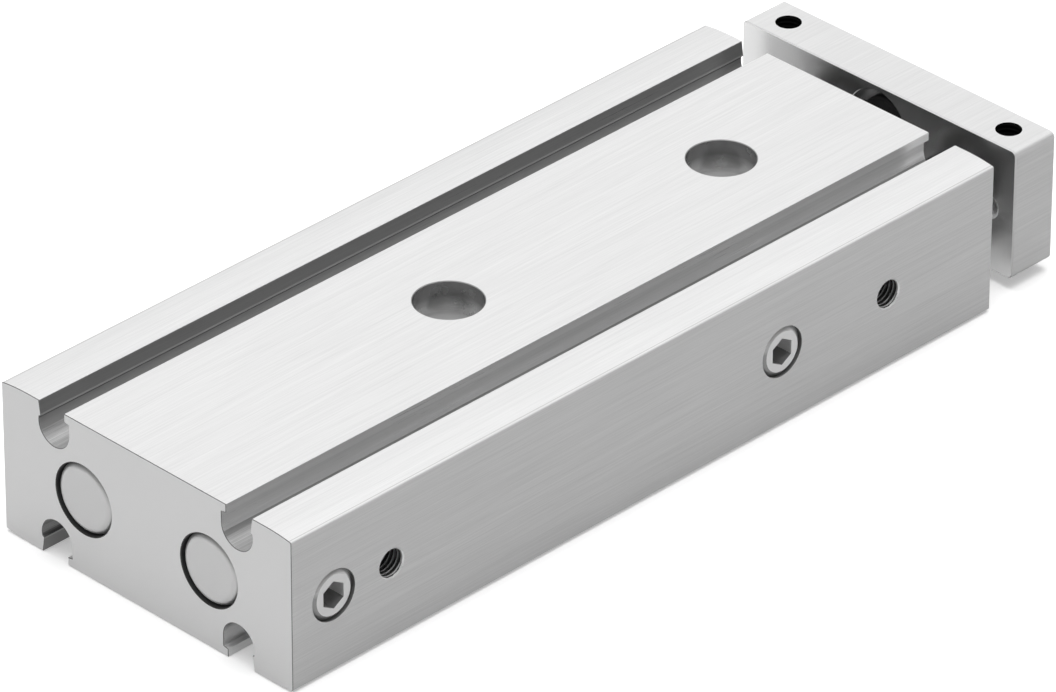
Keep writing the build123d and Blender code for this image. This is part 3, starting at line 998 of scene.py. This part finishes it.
@dataclass
class Housing:
    """The extruded housing, with its four sensor slots, bores, counterbored holes, ports and plug seats."""

    finishes: Finishes
    crown_drop: float = 0.45 * MM
    crown_run: float = 5.6 * MM
    crown_steps: int = 10
    edge_round: float = 0.3 * MM
    edge_steps: int = 4
    # edge_line: the width of the painted shade line by the long edges.
    edge_line: float = 0.13 * MM
    lip_round: float = 0.12 * MM
    end_bevel: float = 0.09 * MM
    slot_offset: float = 19.63 * MM
    slot_radius: float = 3.27 * MM
    slot_depth: float = 3.5 * MM
    slot_steps: int = 28
    mouth_inner: float = 2.3 * MM
    mouth_outer: float = 3.2 * MM
    throat_outer: float = 2.82 * MM
    inner_lip: float = 1.6 * MM
    outer_lip: float = 2.6 * MM
    slot_step: float = 0.2 * MM
    lip_edge: float = 0.3 * MM
    # undercut: how deep the painted shadow stripe under the outer lip reaches.
    undercut: float = 0.45 * MM
    bore_radius: float = 6.0 * MM
    bore_bevel: float = 0.15 * MM
    seat_radius: float = 6.5 * MM
    seat_bevel: float = 0.3 * MM
    seat_length: float = 44.8 * MM
    groove_depth: float = 0.45 * MM
    hole_radius: float = 3.3 * MM
    hole_offset: float = 29.625 * MM
    counterbore_radius: float = 5.55 * MM
    counterbore_depth: float = 5.5 * MM
    ledge: float = 0.65 * MM
    cone_depth: float = 0.9 * MM
    hole_edge: float = 0.12 * MM
    port_rear: float = 20.3 * MM
    port_front: float = 23.5 * MM
    plug_mouth: float = 4.33 * MM
    plug_pocket: float = 7.0 * MM
    mouth_shade: float = 6.0 * MM
    mouth_depth: float = 0.24 * MM
    # thread_crest: past this radius a port's thread faces take the painted shade of the roots.
    thread_crest: float = 2.35 * MM
    port_thread: Thread = Thread(major=2.58 * MM, minor=2.33 * MM, pitch=0.8 * MM, depth=7.0 * MM,
                                 mouth=2.6 * MM, lead=0.2 * MM, fade=0.2 * MM, mouth_slope=1.25)
    lip_steps: int = 3
    line_span: tuple = (0.9, 2.1)
    cone_tilt: float = 0.3
    floor_tilt: float = 0.45
    mouth_tilt: float = 0.35
    over: float = 1.0 * MM

    def __post_init__(self) -> None:
        """Reads the housing's box from the frame and places the ports."""
        self.low, self.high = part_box("housing")
        self.width = self.high.y - self.low.y
        self.length = self.high.x - self.low.x
        self.middle = (self.low.z + self.high.z) / 2
        self.ports = (self.low.x + self.port_rear, self.high.x - self.port_front)

    def slot(self) -> Outline:
        """One sensor slot's outline from its inner lip to its outer lip, as (Y, depth) points.

        Returns:
            The points in order, from the slot's middle.
        """
        rise = self.slot_depth - self.outer_lip - self.slot_step
        ledge = sqrt(self.slot_radius ** 2 - rise ** 2)
        last = 360 + degrees(atan2(rise, ledge))
        walls = [
            (-self.mouth_inner, 0.0),
            (-self.mouth_inner, self.inner_lip - self.slot_step),
            (-self.slot_radius, self.inner_lip),
        ]
        hollow = arc((0, 0), self.slot_radius, 180, last, self.slot_steps)
        # This split along the outer lip only carries the painted highlight stripe.
        share = self.lip_edge / self.outer_lip
        edge = self.throat_outer + (self.mouth_outer - self.throat_outer) * share
        lip = [
            (self.throat_outer, self.outer_lip),
            (edge, self.outer_lip - self.lip_edge),
            (self.mouth_outer, 0.0),
        ]
        return walls + [(x, self.slot_depth - y) for x, y in hollow] + lip

    def quarter(self) -> Outline:
        """The section's upper left quarter, from the top's middle to the side.

        Returns:
            The points, without the two on the lines of symmetry.
        """
        half = self.width / 2
        slot = [(self.slot_offset + y, self.high.z - depth) for y, depth in self.slot()]
        radius = (self.crown_run ** 2 + self.crown_drop ** 2) / (2 * self.crown_drop)
        fall = degrees(asin(self.crown_run / radius))
        centre = (half - self.crown_run, self.high.z - radius)
        crown = arc(centre, radius, 90, 90 - fall, self.crown_steps)
        foot = (half, self.middle)
        outline = [(0.0, self.high.z)] + slot + crown + [foot]
        corner = len(outline) - 2
        outline = rounded(outline, corner, self.edge_round, self.edge_steps)
        before, tangent = (Vector(point) for point in outline[corner - 1:corner + 1])
        along = (before - tangent).normalized()
        # These two points only split off the strip that carries the painted shade line.
        outline[corner:corner] = [tuple(tangent + along * self.edge_line * share) for share in (2, 1)]
        for lip in (len(slot), 1):
            outline = rounded(outline, lip, self.lip_round, self.lip_steps)
        return outline[1:-1]

    def section(self) -> Outline:
        """The whole section, counterclockwise with X towards the viewer.

        Returns:
            The closed outline.
        """
        quarter = self.quarter()
        flipped = [(y, 2 * self.middle - z) for y, z in quarter]
        left = quarter + flipped[::-1]
        right = [(-y, z) for y, z in flipped + quarter[::-1]]
        return (left + right)[::-1]

    def bores(self) -> list[Placed]:
        """The two bores with their guide seats and bevelled mouths.

        Returns:
            The tools with their places and the finishes that they leave.
        """
        step = self.high.x - self.seat_length
        ring_low, ring_high = (corner.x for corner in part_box("snap_ring_left"))
        groove = self.seat_radius + self.groove_depth
        profile = [
            (0.0, self.low.x - self.over),
            (self.bore_radius + self.bore_bevel, self.low.x - self.over),
            (self.bore_radius + self.bore_bevel, self.low.x),
            (self.bore_radius, self.low.x + self.bore_bevel),
            (self.bore_radius, self.low.x + self.mouth_shade),
            (self.bore_radius, step),
            (self.seat_radius, step),
            (self.seat_radius, ring_low),
            (groove, ring_low),
            (groove, ring_high),
            (self.seat_radius, ring_high),
            (self.seat_radius, self.high.x - self.seat_bevel),
            (self.seat_radius + self.seat_bevel, self.high.x),
            (self.seat_radius + self.seat_bevel, self.high.x + self.over),
            (0.0, self.high.x + self.over),
        ]
        mesh = turned_mesh("bore", profile, ROUND_STEPS)
        axes = [centre_of(f"rear_cap_{side.word}").y for side in Side]
        return [(mesh, Facing.FRONT.at((0.0, axis, self.middle)), self.finishes.bored) for axis in axes]

    def screw_holes(self) -> list[Placed]:
        """The two counterbored mounting holes with their cones and broken edges.

        Returns:
            The tools with their places and the finishes that they leave.
        """
        top = self.high.z
        floor = top - self.counterbore_depth
        profile = [
            (0.0, self.low.z - self.over),
            (self.hole_radius + self.hole_edge, self.low.z - self.over),
            (self.hole_radius + self.hole_edge, self.low.z),
            (self.hole_radius, self.low.z + self.hole_edge),
            (self.hole_radius, floor - self.cone_depth),
            (self.counterbore_radius - self.ledge, floor),
            (self.counterbore_radius, floor),
            (self.counterbore_radius, top - self.hole_edge),
            (self.counterbore_radius + self.hole_edge, top),
            (self.counterbore_radius + self.hole_edge, top + self.over),
            (0.0, top + self.over),
        ]
        mesh = turned_mesh("counterbore", profile, ROUND_STEPS)
        places = (-self.hole_offset, self.hole_offset)
        return [(mesh, Facing.UP.at((x, 0.0, 0.0)), self.finishes.bored) for x in places]

    def plug_seats(self) -> list[Placed]:
        """The two seats of the passage plugs.

        Returns:
            The tools with their places and the finishes that they leave.
        """
        profile = [
            (0.0, -self.plug_pocket),
            (self.plug_mouth, -self.plug_pocket),
            (self.plug_mouth, self.over),
            (0.0, self.over),
        ]
        mesh = turned_mesh("plug_seat", profile)
        spots = [(x, self.low.y, self.middle) for x in self.plug_places()]
        return [(mesh, Facing.RIGHT.at(spot), self.finishes.plug_seat) for spot in spots]

    @staticmethod
    def plug_places() -> list[float]:
        """The plugs' places along the stroke."""
        return [centre_of(f"passage_plug_{end}").x for end in PLUG_ENDS]

    def port_taps(self) -> bpy.types.Object:
        """The threads of the two air ports.

        Returns:
            The tool that cuts both.
        """
        rear, front = self.ports
        taps = self.port_thread.taps("port_taps", len(self.ports), front - rear, self.finishes.tapped)
        taps.data.transform(Facing.RIGHT.at(((rear + front) / 2, self.low.y, self.middle)))
        return taps

    def from_port(self, spot: Vector) -> float:
        """How far a point is from the nearer port's axis."""
        return min(Vector((spot.x - place, spot.z - self.middle)).length for place in self.ports)

    def hole_finish(self, upward: float) -> bpy.types.Material:
        """The finish of a mounting hole's face, by how far it faces up, with painted light and shade: a wall
        dark at the top and light lower down, and a shaded ledge and cone.

        Args:
            upward: The part of its normal that points up.

        Returns:
            The finish.
        """
        if upward > FACING:
            return self.finishes.bore_ledge
        return self.finishes.bore_cone if upward > self.cone_tilt else self.finishes.bore_wall

    def slot_finish(self, outer: bool, upward: float, depth: float) -> bpy.types.Material:
        """The finish of a face in a sensor slot: lit and shaded copies of the brushed finish, as painted
        light and shade.

        Args:
            outer: Whether the face is on the slot's outer side.
            upward: How far it faces the slot's mouth.
            depth: How deep it lies.

        Returns:
            The finish.
        """
        finishes = self.finishes
        if upward > self.floor_tilt:
            return finishes.slot_floor
        if not outer:
            return finishes.slot_inner_lip if depth < self.inner_lip else finishes.slot_inner_round
        steps = (
            (self.outer_lip - self.lip_edge, finishes.slot_outer_lip),
            (self.outer_lip, finishes.slot_lip_edge),
            # The stripe just under the outer lip is painted shadow.
            (self.outer_lip + self.undercut, finishes.slot_undercut_shadow),
        )
        return next((finish for end, finish in steps if depth < end), finishes.slot_outer_round)

    def cut_finish(self, face: bpy.types.MeshPolygon, held: bpy.types.Material) -> bpy.types.Material:
        """The finish of a face that a tool left, by its place in its hole, with painted shade at the bores'
        mouths, in the mounting holes and in the thread roots.

        Args:
            face: The face.
            held: The finish that the cut gave it.

        Returns:
            Its own finish, or the held one.
        """
        spot, finishes = face.center, self.finishes
        # Painted shade at the bores' mouths.
        if held == finishes.bored and spot.x < self.low.x + self.mouth_shade:
            return finishes.bore_mouth
        if held == finishes.bored and abs(spot.y) < self.counterbore_radius + self.hole_edge:
            return self.hole_finish(face.normal.z)
        at_mouth = face.normal.y < -self.mouth_tilt and spot.y < self.low.y + self.mouth_depth
        if held == finishes.tapped and at_mouth:
            return finishes.tapped_mouth
        # Painted shade in the thread roots.
        if held == finishes.tapped and self.from_port(spot) > self.thread_crest:
            return finishes.thread_root
        return held

    def skin_finish(self, face: bpy.types.MeshPolygon) -> bpy.types.Material:
        """The finish of a face of the extrusion: its ends, their bevels painted dark as shade lines, the
        painted shade lines by its long edges, and its slots' lit and shaded faces.

        Args:
            face: The face.

        Returns:
            The finish.
        """
        spot, normal = face.center, face.normal
        depth = min(self.high.z - spot.z, spot.z - self.low.z)
        from_slot = abs(abs(spot.y) - self.slot_offset)
        tangent = self.high.y - self.edge_round
        from_edge = (tangent - abs(spot.y)) / self.edge_line
        # The front end face takes the darker finish that carries painted shade for the yoke gap.
        if abs(normal.x) > FACING:
            return self.finishes.front_face if normal.x > 0 else self.finishes.end_face
        # The end bevels take the dark painted shade line.
        if abs(normal.x) > TILTED:
            return self.finishes.edge
        # The strip just inside the long edge's round takes the painted shade line.
        if normal.z > FACING and self.line_span[0] < from_edge < self.line_span[1]:
            return self.finishes.edge_line
        if from_slot < self.slot_radius + self.slot_step and depth > self.crown_drop:
            upward = normal.z if spot.z > self.middle else -normal.z
            return self.slot_finish(abs(spot.y) > self.slot_offset, upward, depth)
        return self.finishes.extruded

    def dress_faces(self, piece: bpy.types.Object) -> None:
        """Gives each face its own finish.

        Args:
            piece: The cut housing.
        """
        for face in piece.data.polygons:
            held = piece.data.materials[face.material_index]
            own = self.skin_finish(face) if held == self.finishes.extruded else self.cut_finish(face, held)
            face.material_index = index_of(piece, own)

    def build(self) -> None:
        """Draws the extrusion, cuts it and hands it over."""
        splits = [(0, x) for x in (-self.hole_offset, self.hole_offset, *self.ports)]
        splits += [(2, self.middle)] + [(0, x) for x in self.plug_places()]
        piece = extrusion("housing_dressed", self.section(), self.low.x, self.length, self.end_bevel,
                          self.finishes.extruded, splits)
        cut(piece, joined("housing_tools", self.bores() + self.screw_holes() + self.plug_seats()))
        cut(piece, self.port_taps())
        self.dress_faces(piece)
        ready(smooth(piece), BODY_FIXED, "housing_aluminium", "housing")


@dataclass
class Closures:
    """What closes the housing: its rear caps and passage plugs."""

    finishes: Finishes
    cap_round: float = 1.4 * MM
    cap_steps: int = 14
    plug_reach: float = 4.3 * MM
    plug_face: float = 3.42 * MM
    plug_bevel: float = 0.62 * MM
    socket_flats: float = 4.1 * MM
    socket_depth: float = 3.2 * MM
    socket_point: float = 0.7 * MM
    socket_turn: float = 90.0
    socket_tilt: float = 0.3

    def cap(self, side: Side) -> None:
        """One rear cap, with its rounded rim.

        Args:
            side: The cylinder that it closes.
        """
        node = f"rear_cap_{side.word}"
        low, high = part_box(node)
        length = high.x - low.x
        radius = (high.z - low.z) / 2
        rim = arc((radius - self.cap_round, self.cap_round), self.cap_round, -90, 0, self.cap_steps)
        profile = [(0.0, 0.0)] + rim + [(radius, length), (0.0, length)]
        place = Facing.FRONT.at((low.x, *centre_of(node).yz))
        mesh = turned_mesh(node, profile, ROUND_STEPS)
        piece = joined(f"{node}_dressed", [(mesh, place, self.finishes.by_slot["cap_aluminium"])])
        ready(smooth(piece), BODY_FIXED, "cap_aluminium", node)

    def plug(self, end: str) -> None:
        """One hexagon-socket plug.

        Args:
            end: The end of the housing that it is near.
        """
        node = f"passage_plug_{end}"
        low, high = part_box(node)
        length = high.y - low.y
        profile = [(0.0, -length), (self.plug_reach, -length), (self.plug_reach, -self.plug_bevel),
                   (self.plug_face, 0.0), (0.0, 0.0)]
        middle = centre_of(node)
        place = Facing.RIGHT.at((middle.x, low.y, middle.z))
        mesh = turned_mesh(node, profile)
        piece = joined(f"{node}_dressed", [(mesh, place, self.finishes.by_slot["plug_steel"])])
        socket = socket_mesh(self.socket_flats, self.socket_depth, self.socket_point, self.socket_turn)
        cut(piece, joined("plug_tools", [(socket, place, self.finishes.plug_socket)]))
        # Painted light and shade: the rim and the socket's faces that face up take shaded copies.
        for face in piece.data.polygons:
            if face.material_index == 0 and face.normal.y > -FACING:
                face.material_index = index_of(piece, self.finishes.plug_rim)
            elif face.material_index != 0 and face.normal.z > self.socket_tilt:
                face.material_index = index_of(piece, self.finishes.socket_low)
        ready(smooth(piece), BODY_FIXED, "plug_steel", node)

    def build(self) -> None:
        """Builds both caps and both plugs."""
        for side in Side:
            self.cap(side)
        for end in PLUG_ENDS:
            self.plug(end)


def socket_mesh(flats: float, depth: float, point: float, turn: float) -> bpy.types.Mesh:
    """The tool of a hexagon socket that cuts down from its local Z = 0.

    Args:
        flats: The distance across flats.
        depth: How deep the flats go.
        point: How much deeper the drilled point goes.
        turn: The angle of the first corner in degrees.

    Returns:
        The closed mesh.
    """
    corner = flats / sqrt(3)
    outline = arc((0.0, 0.0), corner, turn, turn + 360 - 360 / SOCKET_SIDES, SOCKET_SIDES - 1)
    work = bmesh.new()
    top = [work.verts.new((x, y, flats)) for x, y in outline]
    foot = [work.verts.new((x, y, -depth)) for x, y in outline]
    tip = work.verts.new((0.0, 0.0, -depth - point))
    work.faces.new(top)
    for index in range(SOCKET_SIDES):
        after = (index + 1) % SOCKET_SIDES
        work.faces.new((top[index], top[after], foot[after], foot[index]))
        work.faces.new((foot[index], foot[after], tip))
    return kept(work, bpy.data.meshes.new("socket"))


@dataclass
class Yoke:
    """The yoke plate with its threads, its rods' seats, screw pockets and the stop's recess."""

    finishes: Finishes
    corner_round: float = 1.0 * MM
    corner_steps: int = 8
    bevel: float = 0.2 * MM
    thread_offset: float = 23.6 * MM
    thread_major: float = 2.5 * MM
    thread_minor: float = 2.1 * MM
    thread_pitch: float = 0.8 * MM
    top_depth: float = 8.5 * MM
    top_mouth: float = 2.13 * MM
    face_mouth: float = 2.6 * MM
    seat_radius: float = 4.02 * MM
    seat_depth: float = 1.5 * MM
    pocket_radius: float = 4.45 * MM
    pocket_depth: float = 5.3 * MM
    shank_radius: float = 2.6 * MM
    recess_radius: float = 6.15 * MM
    recess_depth: float = 4.3 * MM
    recess_bevel: float = 0.12 * MM
    stop_radius: float = 2.27 * MM
    over: float = 1.0 * MM

    def __post_init__(self) -> None:
        """Reads the plate's box from the frame."""
        self.low, self.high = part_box("yoke_plate")

    def section(self) -> Outline:
        """The plate's outline with its rounded corners.

        Returns:
            The closed outline.
        """
        half = (self.high.y - self.low.y) / 2 - self.corner_round
        top = self.high.z - self.corner_round
        foot = self.low.z + self.corner_round
        outline = []
        for quarter, corner in enumerate(((half, top), (-half, top), (-half, foot), (half, foot))):
            start = 90 * quarter
            outline += arc(corner, self.corner_round, start, start + 90, self.corner_steps)
        return outline

    def tools(self) -> list[Placed]:
        """The rods' seats, the screw pockets and the stop's recess.

        Returns:
            The tools with their places and the finishes that they leave.
        """
        front = self.high.x
        rear = self.low.x
        seat = [
            (0.0, rear - self.over), (self.seat_radius, rear - self.over),
            (self.seat_radius, rear + self.seat_depth), (self.shank_radius, rear + self.seat_depth),
            (self.shank_radius, front - self.pocket_depth), (self.pocket_radius, front - self.pocket_depth),
            (self.pocket_radius, front - self.bevel), (self.pocket_radius + self.bevel, front),
            (self.pocket_radius + self.bevel, front + self.over), (0.0, front + self.over),
        ]
        mouth = self.recess_radius + self.recess_bevel
        recess = [
            (0.0, rear - self.over), (mouth, rear - self.over), (mouth, rear),
            (self.recess_radius, rear + self.recess_bevel),
            (self.recess_radius, rear + self.recess_depth), (self.stop_radius, rear + self.recess_depth),
            (self.stop_radius, front + self.over), (0.0, front + self.over),
        ]
        seat_mesh = turned_mesh("seat", seat)
        rods = [Facing.FRONT.at((0.0, *centre_of(f"rod_{side.word}").yz)) for side in Side]
        stop = Facing.FRONT.at((0.0, *centre_of("stop_pad").yz))
        return [(seat_mesh, rod, self.finishes.bored) for rod in rods] + [
            (turned_mesh("recess", recess, ROUND_STEPS), stop, self.finishes.yoke_inner),
        ]

    def tap_row(self, name: str, depth: float, mouth: float, finish: bpy.types.Material,
                place: Matrix) -> bpy.types.Object:
        """One row of two M5 taps.

        Args:
            name: The row's name.
            depth: How deep the taps go.
            mouth: The radius of their mouths.
            finish: The finish that they leave.
            place: Where the row goes.

        Returns:
            The row.
        """
        thread = Thread(self.thread_major, self.thread_minor, self.thread_pitch, depth, mouth)
        row = thread.taps(name, 2, 2 * self.thread_offset, finish)
        row.data.transform(place)
        return row

    def taps(self) -> list[bpy.types.Object]:
        """The M5 threads in the plate's top edge and through its face.

        Returns:
            The rows of taps that cut them.
        """
        middle = (self.low.x + self.high.x) / 2
        through = self.high.x - self.low.x + self.over
        top = Matrix.Translation((middle, 0.0, self.high.z)) @ Matrix.Rotation(pi / 2, 4, "Z")
        face = Matrix.Translation((self.high.x, 0.0, centre_of("housing").z))
        face = face @ Matrix.Rotation(pi / 2, 4, "X") @ Matrix.Rotation(pi / 2, 4, "Y")
        return [
            # The top taps are near black, for the shade inside them.
            self.tap_row("yoke_top_taps", self.top_depth, self.top_mouth, self.finishes.tapped_deep, top),
            self.tap_row("yoke_face_taps", through, self.face_mouth, self.finishes.tapped, face),
        ]

    def build(self) -> None:
        """Draws the plate, cuts it and hands it over."""
        splits = [(2, centre_of(node).z) for node in ("housing", "stop_pad")]
        splits.append((0, (self.low.x + self.high.x) / 2))
        length = self.high.x - self.low.x
        piece = extrusion("yoke_plate_dressed", self.section(), self.low.x, length, self.bevel,
                          self.finishes.yoke_outer, splits)
        cut(piece, joined("yoke_tools", self.tools()))
        for tap in self.taps():
            cut(piece, tap)
        # The yoke's inner face takes the darker finish that carries painted shade for the gap.
        for face in piece.data.polygons:
            if face.material_index == 0 and face.normal.x < -FACING:
                face.material_index = index_of(piece, self.finishes.yoke_inner)
        ready(smooth(piece), BODY_MOVING, "yoke_aluminium", "yoke_plate")


@dataclass(frozen=True)
class Lamp:
    """A square soft lamp aimed at the part. Reflections don't show it: they show the sky."""

    name: str
    spot: tuple
    size: float
    power: float

    def hang(self) -> None:
        """Adds the lamp to the scene."""
        data = bpy.data.lights.new(self.name, "AREA")
        data.size = self.size
        data.energy = self.power
        lamp = bpy.data.objects.new(self.name, data)
        lamp.location = self.spot
        lamp.rotation_euler = (-Vector(self.spot)).to_track_quat("-Z", "Y").to_euler()
        lamp.visible_glossy = False
        bpy.context.scene.collection.objects.link(lamp)


@dataclass
class Studio:
    """The floor, the lamps, the world and the camera."""

    image_width: int = 1056
    position: tuple = (-0.85565, -0.83679, 0.75065)
    azimuth: float = 44.788
    descent: float = 31.907
    roll: float = 0.154
    sensor: float = 36.0
    focal_pixels: float = 9172.4
    floor_size: float = 8.0
    floor_gap: float = 0.05 * MM
    floor_level: float = 0.75
    floor_glow: float = 0.35
    floor_bounce: float = 0.1
    world_level: float = 0.12
    sky_level: float = 0.7
    sky_start: float = 0.4
    sky_full: float = 0.92
    view_end: float = 50.0
    lamps: tuple[Lamp, ...] = (
        Lamp("overhead", (0.03, -0.02, 1.6), 1.4, 28.0),
        Lamp("rear_fill", (-1.6, 0.1, 0.7), 0.9, 4.9),
    )

    def camera(self) -> None:
        """The camera at the photograph's viewing angle."""
        turn, fall, lean = radians(self.azimuth), radians(self.descent), radians(self.roll)
        ahead = Vector((cos(fall) * cos(turn), cos(fall) * sin(turn), -sin(fall)))
        right = ahead.cross(Vector((0.0, 0.0, 1.0))).normalized()
        up = right.cross(ahead)
        across = cos(lean) * right + sin(lean) * up
        upright = cos(lean) * up - sin(lean) * right
        data = bpy.data.cameras.new("camera")
        data.sensor_width = self.sensor
        data.lens = self.focal_pixels * self.sensor / self.image_width
        data.clip_end = self.view_end
        eye = bpy.data.objects.new("camera", data)
        rows = [(across[i], upright[i], -ahead[i], self.position[i]) for i in range(3)]
        eye.matrix_world = Matrix(rows + [(0.0, 0.0, 0.0, 1.0)])
        bpy.context.scene.collection.objects.link(eye)
        bpy.context.scene.camera = eye

    def floor(self) -> None:
        """A plain pale floor at the level that the part rests on."""
        half = self.floor_size / 2
        level = CAD_BOUNDS[0][2] - self.floor_gap
        mesh = bpy.data.meshes.new("floor")
        corners = [(-half, -half, level), (half, -half, level), (half, half, level), (-half, half, level)]
        mesh.from_pydata(corners, [], [(0, 1, 2, 3)])
        floor = mesh_object("floor", mesh)
        mesh.materials.append(self.floor_material())

    def floor_material(self) -> bpy.types.Material:
        """Matt pale floor, lifted towards white for the eye and for reflections, with its shadow kept.

        Returns:
            The material.
        """
        shader = Shader("floor_pale")
        seen = 0.0
        for ray in ("Is Camera Ray", "Is Glossy Ray", "Is Transmission Ray"):
            seen = shader.node("ShaderNodeLightPath", {}, {}, ray) + seen
        seen = seen.clamped()
        tone = shader.mix(seen, grey(self.floor_bounce), grey(self.floor_level))
        glow = shader.mix(seen, grey(0.0), grey(self.floor_glow))
        return shader.finish(
            Base_Color=tone,
            Emission_Color=glow,
            Emission_Strength=1.0,
            Roughness=0.9,
            Specular_IOR_Level=0.0,
        )

    def world(self) -> None:
        """A sky that is dim at its foot and bright overhead, like a wide soft box."""
        sky = bpy.data.worlds.new("studio")
        sky.use_nodes = True
        tree = Tree(sky.node_tree)
        height = tree.parts(tree.node("ShaderNodeTexCoord", {}, {}, "Generated"))[2]
        level = tree.node("ShaderNodeMapRange", {"interpolation_type": "SMOOTHSTEP"}, {
            "Value": height,
            "From Min": self.sky_start, "From Max": self.sky_full,
            "To Min": self.world_level, "To Max": self.sky_level,
        })
        light = sky.node_tree.nodes["Background"]
        tree.put(light.inputs["Color"], grey(1.0))
        tree.put(light.inputs["Strength"], level)
        bpy.context.scene.world = sky

    def build(self) -> None:
        """Sets the studio up."""
        self.camera()
        self.floor()
        self.world()
        for lamp in self.lamps:
            lamp.hang()
        bpy.context.scene.view_settings.view_transform = "Standard"


def dress_solids(finishes: Finishes) -> None:
    """Gives every solid that stays in the scene the finish of its slot.

    Args:
        finishes: The part's materials.
    """
    for entry in frame["record"]["subparts"]:
        node = frame["nodes"][entry["node"]]
        material = finishes.by_slot[entry["material_slot"]]
        for slot in node.material_slots:
            slot.material = material
        log.info("%s: %s", entry["node"], material.name)


def main() -> None:
    """Builds the part's pieces and the studio in order."""
    logging.basicConfig(level=logging.INFO)
    finishes = Finishes()
    dress_solids(finishes)
    Housing(finishes).build()
    Closures(finishes).build()
    Yoke(finishes).build()
    Studio().build()


if __name__ == "__main__":
    main()
